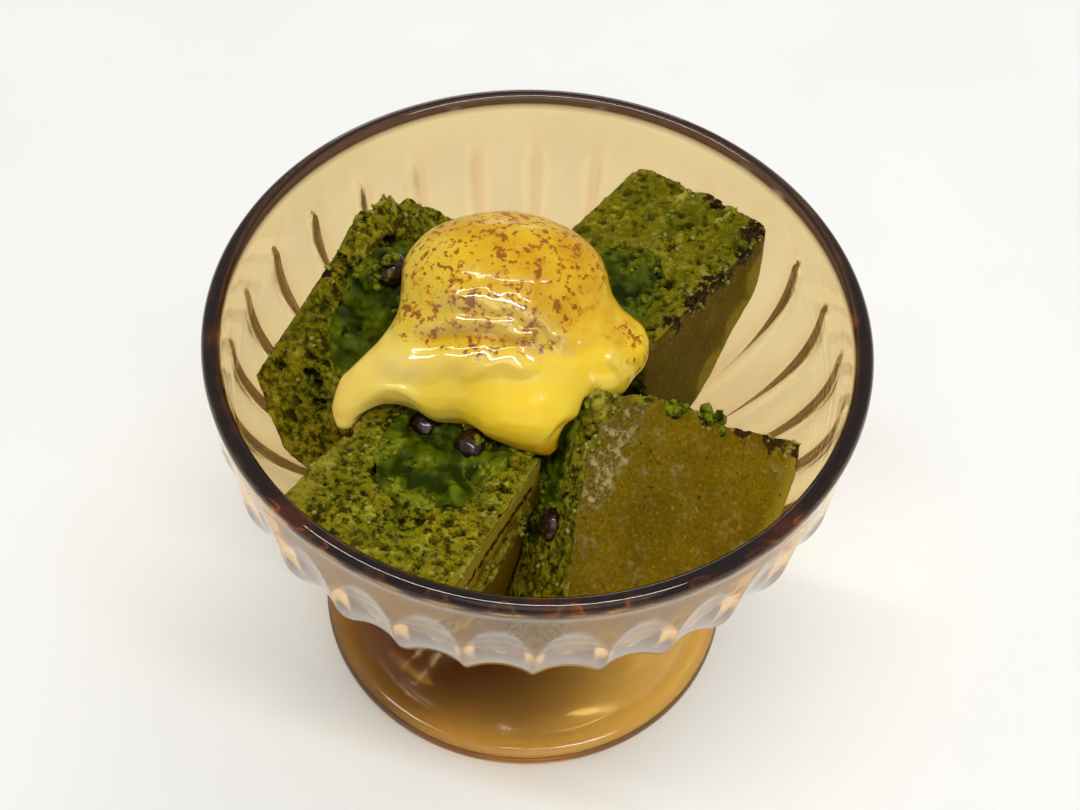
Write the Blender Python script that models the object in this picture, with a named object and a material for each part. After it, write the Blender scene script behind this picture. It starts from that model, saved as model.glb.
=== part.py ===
"""Green-tea imagawayaki cut in quarters, with custard, in a footed glass dessert bowl.

All driving sizes are in millimetres. The bowl stands on the XY plane, centred on
the Z axis. Each quarter is described in its own frame: x along the first cut edge,
y along the second cut edge, z through the thickness of the round cake.
"""

import math

import bmesh
import bpy
from mathutils import Matrix, Vector

MM = 0.001

# Bowl, from the rim down.
RIM_HEIGHT = 85.0
RIM_RADIUS = 56.0
WALL_TOP = 71.4
OUTER_RADIUS = 55.0
OUTER_DEPTH = 39.4
INNER_RADIUS = 52.2
INNER_DEPTH = 34.9
FLUTES = 30
FLUTE_DEPTH = 1.2
FLUTE_START = 2.5
COLUMNS = 60

# Foot and stem: (radius, height) from under the bowl out to the foot's edge.
STEM_PROFILE = (
    (11.4, 30.4),
    (9.0, 27.6),
    (8.3, 23.0),
    (9.4, 18.0),
    (13.5, 12.6),
    (20.0, 8.7),
    (27.5, 6.0),
    (34.6, 4.1),
    (36.2, 4.2),
    (38.2, 3.6),
    (39.2, 1.9),
    (37.2, 0.0),
)
# Underside, from the flat ring it rests on in to the axis.
UNDER_PROFILE = (
    (33.0, 0.0),
    (31.5, 0.9),
    (18.0, 4.0),
)
UNDER_CENTRE = 6.4

# Food.
GAP = 0.3
EDGE_ROUND = 2.7
SWEEP_STEPS = 10
WALL_BULGE = 0.7
# name: (centre of the point edge, first cut edge, second cut edge, flare of the lower face,
#        radius, second radius, thickness, filling radius, filling thickness)
QUARTERS = {
    "back_right": (
        (6.40, 9.30, 75.40),
        (0.591, 0.807, 0.000),
        (0.108, -0.079, -0.991),
        0.0,
        38.0,
        32.0,
        29.4,
        20.5,
        18.0,
    ),
    "back_left": (
        (-22.14, 6.94, 84.95),
        (-0.498, -0.385, -0.777),
        (0.416, 0.680, -0.604),
        0.0,
        39.4,
        37.0,
        28.4,
        21.8,
        18.4,
    ),
    "front_left": (
        (-11.96, -15.40, 75.38),
        (-0.377, -0.909, 0.179),
        (-0.057, -0.170, -0.984),
        3.0,
        34.0,
        33.0,
        29.5,
        20.5,
        20.0,
    ),
    "front_right": (
        (2.76, -8.50, 74.10),
        (-0.076, -0.869, -0.489),
        (0.872, 0.180, -0.456),
        0.0,
        39.0,
        43.4,
        28.0,
        23.0,
        18.0,
    ),
}
# name: (quarter, centre in the quarter's frame, radii)
BEANS = {
    "bean_front_left": ("front_left", (2.6, 0.9, 3.4), (3.5, 3.0, 2.9)),
    "bean_centre": ("front_left", (1.6, 1.5, -5.6), (2.9, 2.8, 2.7)),
    "bean_front_right": ("front_right", (20.6, 0.9, 5.0), (2.9, 2.6, 2.5)),
    "bean_back_left": ("back_left", (1.1, 1.4, -4.4), (3.1, 2.9, 3.0)),
}
# Custard lobes: (centre, radii, turn about z in degrees).
LOBES = (
    ((-6.1, 4.8, 89.2), (18.0, 12.8, 10.4), 0),
    ((-6.3, -4.2, 84.5), (15.5, 10.5, 7.5), 0),
    ((-12.6, -8.6, 79.5), (16.0, 8.5, 6.5), 12),
    ((-2.4, -11.6, 79.5), (11.5, 10.0, 7.0), 0),
    ((-27.0, -11.2, 77.2), (7.0, 5.2, 4.6), 20),
    ((-30.8, -13.8, 75.4), (4.4, 4.0, 3.8), 0),
    ((2.2, -15.6, 77.2), (5.8, 6.4, 5.0), 0),
    ((12.2, -2.2, 82.0), (7.6, 7.4, 5.2), 0),
    ((8.0, -7.6, 80.8), (7.8, 6.8, 5.4), 0),
    ((3.4, -2.4, 84.0), (12.0, 11.0, 7.6), 0),
    ((-19.5, -4.5, 85.0), (5.5, 7.0, 5.5), 0),
    ((-23.4, -8.6, 80.6), (6.4, 5.6, 5.6), 0),
    ((-27.8, -10.6, 78.2), (5.6, 4.8, 4.6), 20),
    ((-3.0, 4.0, 80.0), (12.0, 9.0, 8.0), 0),
)
CUSTARD_GRAIN = 2.5


def clear_scene():
    for obj in list(bpy.data.objects):
        bpy.data.objects.remove(obj, do_unlink=True)


def food_material(name, colour, roughness):
    material = bpy.data.materials.new(name)
    material.use_nodes = True
    shader = material.node_tree.nodes["Principled BSDF"]
    shader.inputs["Base Color"].default_value = (*colour, 1.0)
    shader.inputs["Roughness"].default_value = roughness
    material.diffuse_color = (*colour, 1.0)
    return material


def glass_material(name, colour):
    material = food_material(name, colour, 0.06)
    shader = material.node_tree.nodes["Principled BSDF"]
    shader.inputs["Transmission Weight"].default_value = 0.6
    shader.inputs["IOR"].default_value = 1.5
    return material


def add_object(name, mesh_data, material, smooth_angle=None):
    mesh = bpy.data.meshes.new(name)
    mesh_data.to_mesh(mesh)
    mesh_data.free()
    mesh.materials.append(material)
    if smooth_angle is not None:
        mesh.shade_smooth()
        mesh.set_sharp_from_angle(angle=math.radians(smooth_angle))
    obj = bpy.data.objects.new(name, mesh)
    bpy.context.scene.collection.objects.link(obj)
    return obj


def hide_cutter(obj):
    obj.hide_render = True
    obj.display_type = "WIRE"
    return obj


def outward(mesh_data):
    bmesh.ops.recalc_face_normals(mesh_data, faces=mesh_data.faces)
    if mesh_data.calc_volume(signed=True) < 0:
        bmesh.ops.reverse_faces(mesh_data, faces=mesh_data.faces)


def apply_boolean(obj, cutter, operation):
    modifier = obj.modifiers.new("Trim", "BOOLEAN")
    modifier.operation = operation
    modifier.solver = "EXACT"
    modifier.object = cutter
    bpy.context.view_layer.update()
    graph = bpy.context.evaluated_depsgraph_get()
    result = bpy.data.meshes.new_from_object(obj.evaluated_get(graph))
    result.name = obj.name
    obj.modifiers.remove(modifier)
    obj.data = result


def keep_largest_body(obj):
    """Drops the loose scraps that a Boolean can leave, and welds its shortest edges."""
    data = bmesh.new()
    data.from_mesh(obj.data)
    bmesh.ops.remove_doubles(data, verts=data.verts, dist=0.02 * MM)
    bmesh.ops.dissolve_degenerate(data, edges=data.edges, dist=0.02 * MM)
    data.verts.ensure_lookup_table()
    left = set(data.verts)
    bodies = []
    while left:
        stack = [left.pop()]
        body = set(stack)
        while stack:
            vert = stack.pop()
            for edge in vert.link_edges:
                other = edge.other_vert(vert)
                if other in left:
                    left.discard(other)
                    body.add(other)
                    stack.append(other)
        bodies.append(body)
    bodies.sort(key=len)
    for body in bodies[:-1]:
        bmesh.ops.delete(data, geom=list(body), context="VERTS")
    outward(data)
    data.to_mesh(obj.data)
    data.free()


# ---------------------------------------------------------------- bowl


def ellipse_radius(z, radius, depth):
    drop = min(max((WALL_TOP - z) / depth, 0.0), 1.0)
    return radius * math.sqrt(1.0 - drop * drop)


def flute_depth(azimuth, z):
    """Depth of the scallops pressed in the outside: a ridge every 12 degrees."""
    turn = (azimuth - math.radians(FLUTE_START)) * FLUTES / math.tau
    phase = 2.0 * (turn - math.floor(turn)) - 1.0
    top = min(max((73.6 - z) / 7.5, 0.0), 1.0)
    bottom = min(max((z - 33.0) / 9.0, 0.0), 1.0)
    return FLUTE_DEPTH * (1.0 - phase * phase) * top * bottom


def bowl_ring(data, radius, z, count, fluted=False):
    verts = []
    for i in range(count):
        azimuth = math.radians(FLUTE_START) + math.tau * i / count
        r = radius - (flute_depth(azimuth, z) if fluted else 0.0)
        point = Vector((r * math.sin(azimuth), -r * math.cos(azimuth), z))
        verts.append(data.verts.new(point * MM))
    return verts


def join_rings(data, upper, lower):
    """Joins two rings, where one may have twice the vertices of the other."""
    few, many = (upper, lower) if len(upper) <= len(lower) else (lower, upper)
    n = len(few)
    for i in range(n):
        a, b = few[i], few[(i + 1) % n]
        if len(many) == n:
            data.faces.new((a, many[i], many[(i + 1) % n], b))
            continue
        first = many[2 * i]
        middle = many[2 * i + 1]
        last = many[(2 * i + 2) % len(many)]
        data.faces.new((a, first, middle))
        data.faces.new((a, middle, b))
        data.faces.new((b, middle, last))


def build_bowl(material):
    data = bmesh.new()
    n = COLUMNS
    rings = [
        bowl_ring(data, 53.9, RIM_HEIGHT, n),
        bowl_ring(data, 55.3, RIM_HEIGHT - 0.35, n),
        bowl_ring(data, RIM_RADIUS, RIM_HEIGHT - 1.6, n),
        bowl_ring(data, 55.6, RIM_HEIGHT - 3.4, n),
        bowl_ring(data, 55.1, 74.5, 2 * n),
    ]
    for z in (69.5, 63.0, 55.0, 47.5, 41.0, 36.4):
        radius = ellipse_radius(z, OUTER_RADIUS, OUTER_DEPTH)
        rings.append(bowl_ring(data, radius, z, 2 * n, fluted=True))
    rings.append(bowl_ring(data, 17.5, 33.2, n))
    for radius, z in STEM_PROFILE:
        rings.append(bowl_ring(data, radius, z, n))
    for radius, z in UNDER_PROFILE:
        rings.append(bowl_ring(data, radius, z, n))
    for upper, lower in zip(rings, rings[1:]):
        join_rings(data, upper, lower)
    centre = data.verts.new(Vector((0, 0, UNDER_CENTRE)) * MM)
    for i in range(n):
        data.faces.new((rings[-1][i], centre, rings[-1][(i + 1) % n]))
    inner = [rings[0], bowl_ring(data, 52.9, RIM_HEIGHT - 0.9, n)]
    for z in (WALL_TOP, 61.0, 51.5, 44.0, 39.0):
        radius = ellipse_radius(z, INNER_RADIUS, INNER_DEPTH)
        inner.append(bowl_ring(data, radius, z, n))
    for upper, lower in zip(inner, inner[1:]):
        join_rings(data, upper, lower)
    centre = data.verts.new(Vector((0, 0, WALL_TOP - INNER_DEPTH)) * MM)
    for i in range(n):
        data.faces.new((inner[-1][i], inner[-1][(i + 1) % n], centre))
    outward(data)
    return add_object("bowl", data, material, 40)


def build_cavity(clearance):
    """The inside of the bowl, less a clearance, as a cutter."""
    data = bmesh.new()
    rings = []
    for z in (110.0, WALL_TOP, 61.0, 51.5, 44.0, 39.0):
        radius = ellipse_radius(z, INNER_RADIUS, INNER_DEPTH)
        inset = radius - clearance / math.cos(math.pi / COLUMNS) - 0.1
        rings.append(bowl_ring(data, inset, z + clearance, COLUMNS))
    for upper, lower in zip(rings, rings[1:]):
        join_rings(data, upper, lower)
    data.faces.new(rings[0])
    data.faces.new(rings[-1])
    outward(data)
    cutter = add_object("cavity_cutter", data, food_material("cutter", (1, 0, 0), 0.5))
    return hide_cutter(cutter)


# ---------------------------------------------------------------- quarters


def quarter_matrix(quarter):
    centre, first, second = quarter[:3]
    x_axis = Vector(first).normalized()
    y_axis = Vector(second)
    y_axis = (y_axis - x_axis * y_axis.dot(x_axis)).normalized()
    z_axis = x_axis.cross(y_axis)
    turn = Matrix((x_axis, y_axis, z_axis)).transposed().to_4x4()
    return Matrix.Translation(Vector(centre) * MM) @ turn


def place_quarter(data, quarter):
    """Flares the lower face outward along the first cut edge, then sets the quarter in the bowl."""
    flare, radius, thickness = quarter[3], quarter[4], quarter[6]
    for vert in data.verts:
        down = max(-vert.co.z, 0.0) / (thickness / 2 * MM)
        vert.co.z -= flare * MM * down * vert.co.x / (radius * MM)
    data.transform(quarter_matrix(quarter))


def sweep_section(section, radius, second_radius, start=0.0, end=90.0):
    """Turns a closed (distance, height) outline about the point edge, with flat ends."""
    data = bmesh.new()
    on_axis = {}
    columns = []
    steps = SWEEP_STEPS
    for step in range(steps + 1):
        angle = math.radians(start + (end - start) * step / steps)
        column = []
        for distance, height in section:
            if distance < 1e-9:
                if height not in on_axis:
                    on_axis[height] = data.verts.new(Vector((0, 0, height)) * MM)
                column.append(on_axis[height])
                continue
            x = distance * math.cos(angle)
            y = distance * math.sin(angle) * second_radius / radius
            column.append(data.verts.new(Vector((x, y, height)) * MM))
        columns.append(column)
    count = len(section)
    for left, right in zip(columns, columns[1:]):
        for i in range(count):
            j = (i + 1) % count
            corners = []
            for vert in (left[i], left[j], right[j], right[i]):
                if vert not in corners:
                    corners.append(vert)
            if len(corners) > 2:
                data.faces.new(corners)
    data.faces.new(columns[0])
    data.faces.new(list(reversed(columns[-1])))
    outward(data)
    return data


def outer_outline(radius, thickness, grow=0.0):
    """Half of the round cake's section: flat top and bottom, rounded edges, soft wall."""
    half = thickness / 2 + grow
    far = radius + grow
    soft = EDGE_ROUND + grow
    points = []
    for step in range(4):
        angle = math.radians(90 - 30 * step)
        points.append((far - soft + soft * math.cos(angle), half - soft + soft * math.sin(angle)))
    points.append((far + WALL_BULGE, 0.0))
    for step in range(4):
        angle = math.radians(-30 * step)
        points.append((far - soft + soft * math.cos(angle), soft - half + soft * math.sin(angle)))
    return points


def lens_outline(radius, thickness):
    """Half of the filling's section, a thick round lens, from its top to its bottom."""
    points = []
    for share in (0.0, 0.34, 0.62, 0.82, 0.95):
        points.append((radius * share, thickness / 2 * math.sqrt(1.0 - share**2.6)))
    points.append((radius, 0.0))
    return points + [(d, -h) for d, h in reversed(points[:-1])]


def build_sponge(name, quarter, material):
    radius, second_radius, thickness, lens_radius, lens_thickness = quarter[4:]
    half = thickness / 2
    outline = [(0.0, half)] + outer_outline(radius, thickness) + [(0.0, -half)]
    pocket = lens_outline(lens_radius + GAP, lens_thickness + 2 * GAP)
    data = sweep_section(outline + list(reversed(pocket)), radius, second_radius)
    place_quarter(data, quarter)
    return add_object("cake_" + name, data, material, 35)


def build_filling(name, quarter, material):
    radius, second_radius, _, lens_radius, lens_thickness = quarter[4:]
    outline = lens_outline(lens_radius, lens_thickness)
    data = sweep_section(outline, radius, second_radius)
    place_quarter(data, quarter)
    return add_object("filling_" + name, data, material, 35)


def build_hull(name, quarter, grow):
    """The whole quarter with its pocket filled, grown all round, as a cutter."""
    radius, second_radius, thickness = quarter[4:7]
    half = thickness / 2 + grow
    outline = [(0.0, half)] + outer_outline(radius, thickness, grow) + [(0.0, -half)]
    data = sweep_section(outline, radius, second_radius)
    for vert in data.verts:
        flat = Vector((vert.co.x, vert.co.y, 0.0))
        if vert.co.y < 1e-7:
            flat.y -= grow * MM
        if vert.co.x < 1e-7:
            flat.x -= grow * MM
        vert.co.x = flat.x
        vert.co.y = flat.y
    outward(data)
    place_quarter(data, quarter)
    return hide_cutter(add_object(name, data, bpy.data.materials["cutter"]))


def bean_matrix(bean, grow=0.0):
    quarter, centre, radii = bean
    size = Matrix.Diagonal([(r + grow) * MM for r in radii] + [1.0])
    return quarter_matrix(QUARTERS[quarter]) @ Matrix.Translation(Vector(centre) * MM) @ size


def build_bean(name, bean, material, grow=0.0):
    data = bmesh.new()
    bmesh.ops.create_uvsphere(data, u_segments=12, v_segments=7, radius=1.0)
    data.transform(bean_matrix(bean, grow))
    outward(data)
    return add_object(name, data, material, 80)


# ---------------------------------------------------------------- custard


def build_custard(material, cutters):
    data = bmesh.new()
    for centre, radii, turn in LOBES:
        place = Matrix.Translation(Vector(centre) * MM)
        place = place @ Matrix.Rotation(math.radians(turn), 4, "Z")
        place = place @ Matrix.Diagonal([r * MM for r in radii] + [1.0])
        bmesh.ops.create_icosphere(data, subdivisions=4, radius=1.0, matrix=place)
    obj = add_object("custard", data, material)
    remesh = obj.modifiers.new("Blend", "REMESH")
    remesh.mode = "VOXEL"
    remesh.voxel_size = CUSTARD_GRAIN * MM
    remesh.use_smooth_shade = True
    smooth = obj.modifiers.new("Settle", "SMOOTH")
    smooth.factor = 0.5
    smooth.iterations = 5
    bpy.context.view_layer.update()
    graph = bpy.context.evaluated_depsgraph_get()
    blended = bpy.data.meshes.new_from_object(obj.evaluated_get(graph))
    blended.name = "custard"
    obj.modifiers.clear()
    obj.data = blended
    for cutter in cutters:
        apply_boolean(obj, cutter, "DIFFERENCE")
    keep_largest_body(obj)
    obj.data.shade_smooth()
    obj.data.set_sharp_from_angle(angle=math.radians(50))
    return obj


def main():
    clear_scene()
    glass = glass_material("amber_glass", (0.62, 0.33, 0.09))
    sponge = food_material("green_tea_sponge", (0.110, 0.135, 0.010), 0.85)
    filling = food_material("green_bean_filling", (0.035, 0.085, 0.008), 0.6)
    bean = food_material("dark_bean", (0.035, 0.016, 0.012), 0.35)
    cream = food_material("custard_cream", (0.86, 0.62, 0.13), 0.3)

    build_bowl(glass)
    cavity = build_cavity(GAP)
    hulls = {}
    for name, quarter in QUARTERS.items():
        cake = build_sponge(name, quarter, sponge)
        core = build_filling(name, quarter, filling)
        for piece in (cake, core):
            apply_boolean(piece, cavity, "INTERSECT")
            for hull in hulls.values():
                apply_boolean(piece, hull, "DIFFERENCE")
            keep_largest_body(piece)
        hulls[name] = build_hull("cutter_" + name, quarter, GAP + 0.05)

    cutters = list(hulls.values())
    for name, spec in BEANS.items():
        build_bean(name, spec, bean)
        cutter = hide_cutter(build_bean("cutter_" + name, spec, bean, GAP))
        for piece in ("filling_" + spec[0], "cake_" + spec[0]):
            apply_boolean(bpy.data.objects[piece], cutter, "DIFFERENCE")
            keep_largest_body(bpy.data.objects[piece])
        cutters.append(cutter)
    build_custard(cream, cutters)


main()
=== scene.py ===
"""Looks of a green-tea imagawayaki cut in quarters, with torched custard, in a footed glass bowl.

Laid out as a Blender add-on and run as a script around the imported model. Sizes in the
tables are in millimetres; each quarter has its own frame, with x along its first cut
edge, y along its second and z through the thickness of the round cake.
"""

import math

import bpy
import numpy as np
from bpy.props import FloatProperty, FloatVectorProperty, IntProperty
from bpy.types import Operator, Panel, PropertyGroup
from mathutils import Matrix, Vector


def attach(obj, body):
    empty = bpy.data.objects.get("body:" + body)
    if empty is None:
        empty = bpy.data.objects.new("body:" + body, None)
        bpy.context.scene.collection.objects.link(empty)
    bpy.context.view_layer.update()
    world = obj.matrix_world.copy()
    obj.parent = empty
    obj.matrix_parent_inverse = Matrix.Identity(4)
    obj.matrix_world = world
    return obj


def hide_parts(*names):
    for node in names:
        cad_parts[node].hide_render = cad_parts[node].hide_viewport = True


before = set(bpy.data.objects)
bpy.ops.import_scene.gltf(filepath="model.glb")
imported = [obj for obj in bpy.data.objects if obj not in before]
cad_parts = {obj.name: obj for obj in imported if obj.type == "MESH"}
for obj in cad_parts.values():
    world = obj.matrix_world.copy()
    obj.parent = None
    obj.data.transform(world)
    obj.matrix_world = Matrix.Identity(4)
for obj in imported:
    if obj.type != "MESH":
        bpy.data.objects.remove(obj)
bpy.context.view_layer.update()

bl_info = {
    "name": "Imagawayaki dessert in a glass bowl",
    "version": (1, 0, 0),
    "blender": (4, 5, 0),
    "location": "View3D > Sidebar > Dessert",
    "description": "Builds a green-tea cake in quarters with torched custard in a glass bowl",
    "category": "Object",
}

MM = 0.001
BODY = "root"
UNDO = {"REGISTER", "UNDO"}

# ---- named sizes

# Bowl: its two walls (half ellipses below WALL_TOP), and where the pressed scoops end.
WALL_TOP = 71.4
OUTER_RADIUS, OUTER_DEPTH = 55, 39.4
INNER_RADIUS, INNER_DEPTH = 52.2, 34.9
SCOOP_START = math.radians(2.5)
SCOOP_TOP, SCOOP_ARCH = 77, 10
SCOOP_BOTTOM, SCOOP_FADE = 33, 9
COLUMNS_PER_SCOOP = 16
# Rim lip from the inside over the top to the outside: (radius, height).
LIP = (
    (52.35, 75), (52.5, 79), (52.65, 82), (52.8, 83.6), (53.1, 84.45), (53.6, 84.9), (54.2, 85),
    (54.9, 84.85), (55.5, 84.45), (55.85, 83.8), (55.95, 83.1), (55.9, 82.4), (55.7, 81.8),
    (55.45, 81.2), (55.3, 80.2), (55.22, 78), (55.15, 76), (55.1, 75), (55.1, 74.2), (55.1, 73.5),
    (55.1, 72.8), (55.1, 72.1),
)
LIP_FROM, LIP_TO = 82.3, 83.4
# Stem and foot from under the bowl out to the foot's edge, then the hollow underside.
STEM = (
    (17.5, 33.2), (13.6, 31.8), (11, 30.1), (9.3, 28), (8.5, 25.6), (8.3, 23), (8.6, 20.4),
    (9.5, 17.9), (11.2, 15.2), (13.7, 12.5), (16.8, 10.3), (20.2, 8.6), (24, 7.1), (27.8, 6),
    (31.2, 5.1), (33.4, 4.5), (34.6, 4.05), (35.2, 3.95), (35.9, 4.15), (36.8, 4.2), (37.8, 3.85),
    (38.7, 3.1), (39.15, 2.2), (39.1, 1.3), (38.5, 0.45), (37.4, 0), (35.2, 0), (33.2, 0),
    (32.2, 0.35), (31.2, 0.95), (27, 2.1), (22, 3.2), (17, 4.1), (11, 5.2), (5, 6), (0.6, 6.3),
)

# name: (centre of the point edge, first cut edge, second cut edge, radius along the first,
#        radius along the second, thickness, filling radius, filling thickness)
QUARTERS = {
    "back_right": (
        (6.4, 9.3, 75.4), (0.591, 0.807, 0), (0.108, -0.079, -0.991), 38, 32, 29.4, 20.5, 18,
    ),
    "back_left": (
        (-22.14, 6.94, 84.95), (-0.498, -0.385, -0.777), (0.416, 0.68, -0.604),
        39.4, 37, 28.4, 21.8, 18.4,
    ),
    "front_left": (
        (-11.96, -15.4, 75.38), (-0.377, -0.909, 0.179), (-0.057, -0.17, -0.984),
        34, 33, 29.5, 20.5, 20,
    ),
    "front_right": (
        (2.76, -8.5, 74.1), (-0.076, -0.869, -0.489), (0.872, 0.18, -0.456),
        39, 43.4, 28, 23, 18,
    ),
}
# Browned places in each quarter's own frame: x, y and z of the centre, radius.
SCORCHED = {
    "back_right": (
        (9, 0, -15.2, 4.5), (16, 0, -15.2, 5.4), (23, 0, -15.2, 4.6), (30, 0, -14.8, 3.6),
        (35.5, 0, -12.5, 4), (37.5, 0, -2, 3),
    ),
    "back_left": ((3, 0, -3.5, 6.5), (9, 0, -13.8, 2)),
    "front_left": tuple((4 + 1.2 * step, 4.4, 14.8, 1.5) for step in range(23)),
    "front_right": (
        (0, 43, 13, 6.5), (0, 36, 14, 3.6), (0, 30, 14, 3), (0, 22, 14, 2.2),
    ),
}
# Pale places of the crust, such as the edge that the mould left, in the same form. On front_left
# they are painted light, brightening the strip along the side where light falls.
PALE_AND_LIT = {
    "front_left": ((6, 1.5, 15, 8), (16, 1.5, 15, 8), (26, 1.5, 15, 8)),
    "back_right": ((29, 17, -15, 7), (20, 23, -15, 7), (34, 9, -15, 6)),
}
# Places where the crust has peeled away, rough and silvery, in the same form.
PEELED = {
    "front_right": (
        (3.5, 6.5, 14, 4.8), (8, 3.8, 14, 5.2), (12.5, 2.6, 14, 4.6), (16, 1.6, 14, 3.4),
    ),
}
# Places torn open down to the crumb, in the same form.
TORN = {
    "front_left": (
        (5, 9.5, 14.8, 4.4), (11, 10.5, 14.8, 4.8), (17.5, 11, 14.8, 5), (24.5, 11, 14.8, 5),
        (31, 9, 14.8, 4.4),
    ),
    "front_right": (
        (0.5, 2.5, 13.5, 5.2), (0, 9, 14, 3.6), (0.5, 15, 14.5, 2.2), (6.5, 0, 13, 3.4),
    ),
    "back_left": ((-1, 5, -15, 4.5), (-1, 11, -15, 3.6), (-1, 24, -15, 3.4)),
    "back_right": ((36, 0, -6, 5), (38, 0, 4, 5)),
}
# Where a quarter stands proud of, or draws in from, its plain shape: (place in its own
# frame, radius that is picked, pull in the same frame, reach of the soft falloff).
PULLED = {
    "front_right": (((0, 6, 14), 3, (-1.5, 0, 0.4), 6), ((0, 15, 14), 3, (-1.5, 0, 0.3), 6)),
    "back_left": (
        ((0, 8, -14), 3, (-2, 0, -1.8), 7), ((0, 16, -14), 3, (-2.2, 0, -1.8), 7),
        ((0, 25, -14), 3, (-1.6, 0, -1.4), 7),
    ),
    "back_right": (
        ((25.5, 21.5, -9), 3, (-2.4, -3.4, 0), 13), ((12, 28, -9), 3, (-0.6, -3.4, 0), 12),
    ),
}
# The larger quarters take a coarser mesh, so that each stays under 200,000 triangles.
COARSER = {"front_right": 1.15, "back_left": 1.1}
# How much darker the cake and the filling of a quarter are.
SHADED = {"back_right": 0.75, "back_left": 0.35}
# How far from its middle each filling turns crumbly (larger means less of it does).
CRUMBLY_FROM = {"back_right": -0.1, "back_left": 0.35, "front_left": 0.1, "front_right": 0.1}
# Ragged ridges of paste squeezed out at an edge: (quarter, from, to, spread, lumps).
RAGGED_EDGES = (
    ("front_right", (-1.2, 14, 13.6), (-0.9, 27, 13.2), 0.55, 46),
    ("front_left", (-0.5, 0.3, 6), (4, -0.4, 3), 0.9, 16),
    ("front_left", (-0.5, 0.3, 6.5), (-0.5, 0.3, 13), 0.6, 16),
    ("front_left", (-1.6, -0.6, -4), (-0.4, -0.9, 5), 0.9, 34),
    ("back_left", (-0.2, -0.3, -4), (3.6, -0.3, -5.5), 1.1, 22),
)
# Folds of the custard from the top down, as seen from above: crest points (x, y), rise,
# reach of the ledge behind the crest and of the drop in front of it.
FOLDS = (
    (
        ((-18.5, -3.7), (-12.6, -5.2), (-7.4, -6), (-3.5, -6.5), (0.4, -7), (3.4, -8.2),
         (4, -10.6)), 1.05, 2.8, 1.1,
    ),
    (
        ((-22, -6.9), (-16.9, -7.3), (-13.7, -7.3), (-9.8, -7.9), (-4.7, -8.3), (-0.8, -9),
         (2.4, -10.4)), 1.05, 1.9, 0.9,
    ),
    (
        ((-27.5, -11.4), (-20.5, -12.2), (-14.6, -12.3), (-9.5, -13), (-3.1, -12.9),
         (1.5, -12.4)), 1.05, 3.2, 1.8,
    ),
    (((11, -8), (14, -9.4), (16.6, -8)), 0.9, 2, 1.1),
    (((8.2, -12.4), (11.4, -12.2), (14.4, -10.6)), 0.9, 1.8, 1),
)
# How the rim of the poured custard draws up: (place, radius picked, pull, reach).
DRAWN_UP = (
    ((-23, -16.2, 78.2), 1.8, (0, 0.9, 2.4), 5.5),
    ((-8.5, -18.6, 79.2), 2.2, (-0.2, 0.4, 0.6), 6.5),
    ((6.5, -19.8, 78), 1.6, (-1.6, 0.4, 1), 4),
)


# ---- settings


def linear(name, *default):
    """A setting for a colour, in the linear values that nodes take."""
    return FloatVectorProperty(
        name=name, description=name, subtype="COLOR", min=0, max=1, default=default
    )


def paint(name, *levels):
    """The same from the values of a colour chart, 0 to 255."""
    values = [level / 255 for level in levels]
    values = [v / 12.92 if v <= 0.04045 else ((v + 0.055) / 1.055) ** 2.4 for v in values]
    return linear(name, *values)


def length(name, mm):
    return FloatProperty(
        name=name, description=name, subtype="DISTANCE", min=0, precision=5, default=mm * MM
    )


def amount(name, default):
    return FloatProperty(name=name, description=name, min=0, default=default)


def number_of(name, default):
    return IntProperty(name=name, description=name, min=1, default=default)


class BowlSettings(PropertyGroup):
    scoops: number_of("Pressed scoops round the wall", 30)
    scoop_depth: length("Depth of a scoop at its middle", 1.55)
    tint: linear("Colour of the glass in depth", 0.9, 0.65, 0.047)
    density: amount("Absorption per metre of glass", 64)
    wall: linear("Glass of the wall", 1, 0.83, 0.49)
    # Painted light: peach streaks on the ridges between the scoops, standing in for light that
    # passes through the ridges.
    ridge: linear("Peach ridges between the scoops", 0.9, 0.63, 0.34)
    # Painted shade: the front of the outer wall is tinted a deeper peach, for the darker look
    # through that side.
    stain: linear("Deeper peach of the front", 1, 0.66, 0.3)
    # Painted shadow: foot is the dark brown painted in the middle of the foot as the shadow of the
    # bowl and its food; foot_edge is the glass where that shadow fades.
    foot: linear("Glass at the middle of the foot", 0.22, 0.078, 0.0003)
    foot_edge: linear("Glass at the edge of the foot", 0.78, 0.58, 0.2)
    # The lip is painted nearly black. Part of this is the deeper colour of thick amber glass, and
    # part is painted shade for the dark look that internal reflection gives the rim. lip_glow
    # paints amber light into it.
    lip: linear("Dark glass of the lip", 0.016, 0.005, 0.003)
    lip_glow: linear("Amber places in the lip", 0.3, 0.06, 0.01)
    shade: linear("Light let through on what it shades", 0.93, 0.94, 0.955)
    lustre: amount("Strength of the pearly outside", 0.46)


class CakeSettings(PropertyGroup):
    grain: length("Finest modelled crumb", 0.29)
    crumb_rise: length("Height of the crumb's lumps", 1.15)
    pore_depth: length("Depth of the pores", 1.3)
    crumb: paint("Crumb", 146, 132, 8)
    green: paint("Greener crumb", 120, 118, 6)
    # deep is the colour of painted shade in the crumb's pores and hollows; light is painted light
    # on raised crumb and painted highlights on its tips.
    deep: paint("Crumb in its pores", 50, 48, 3)
    light: paint("Lit tips of the crumb", 220, 212, 88)
    crust: paint("Griddled crust", 110, 88, 0)
    crust_dark: paint("Darker speckle of the crust", 78, 60, 0)
    side: paint("Pale side and rind of the cake", 150, 134, 34)
    peeled: paint("Peeled crust", 172, 158, 100)
    scorch: paint("Browned edge", 50, 32, 6)


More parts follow.
